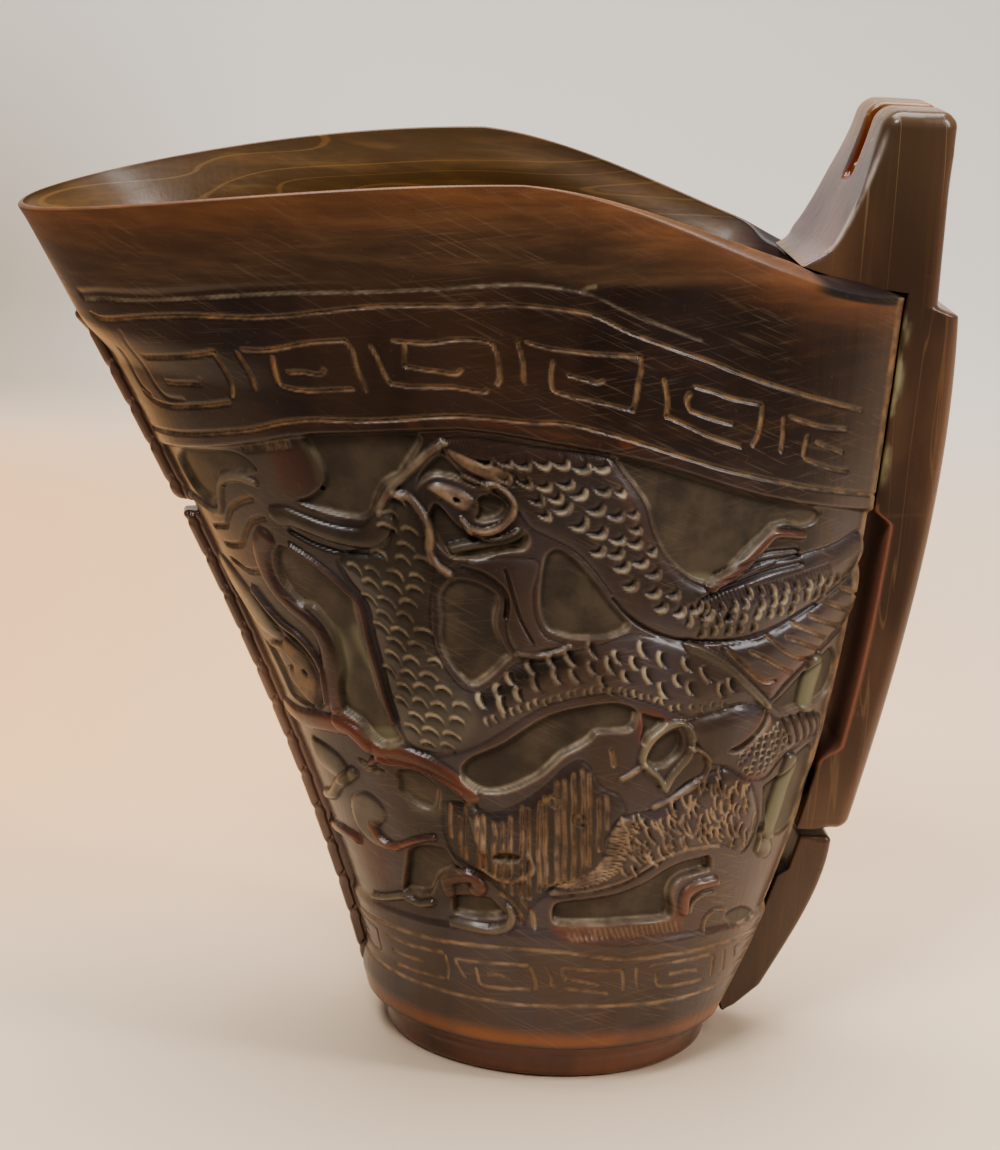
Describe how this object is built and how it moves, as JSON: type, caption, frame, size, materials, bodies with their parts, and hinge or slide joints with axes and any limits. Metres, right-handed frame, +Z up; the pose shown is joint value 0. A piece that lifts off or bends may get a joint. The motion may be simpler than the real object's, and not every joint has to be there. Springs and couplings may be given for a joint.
{
  "type": "libation cup",
  "caption": "Carved horn libation cup with an oval body that leans into a wide pouring lip, a toothed front flange and a handle board with a forked ear.",
  "frame": {"origin": "on the floor under the middle of the cup's length and width", "axes": "+Z up, the pouring lip towards -X and the handle towards +X, with the cup the same on both sides of the XZ plane"},
  "size_m": [0.1324, 0.066, 0.14],
  "materials": {
    "dark_horn": "polished carved horn",
    "red_horn": "polished reddish horn",
    "handle_horn": "polished horn with upright grain",
    "pale_horn": "worn pale horn",
    "peg_horn": "unpolished horn"
  },
  "bodies": {
    "root": {"cup_body": "dark_horn", "base_block": "red_horn", "handle_board": "handle_horn", "handle_lower_tab": "handle_horn", "front_flange_upper": "pale_horn", "front_flange_lower": "pale_horn", "handle_peg_upper": "peg_horn", "handle_peg_middle": "peg_horn", "handle_peg_lower": "peg_horn", "tab_peg": "peg_horn"}
  },
  "joints": []
}
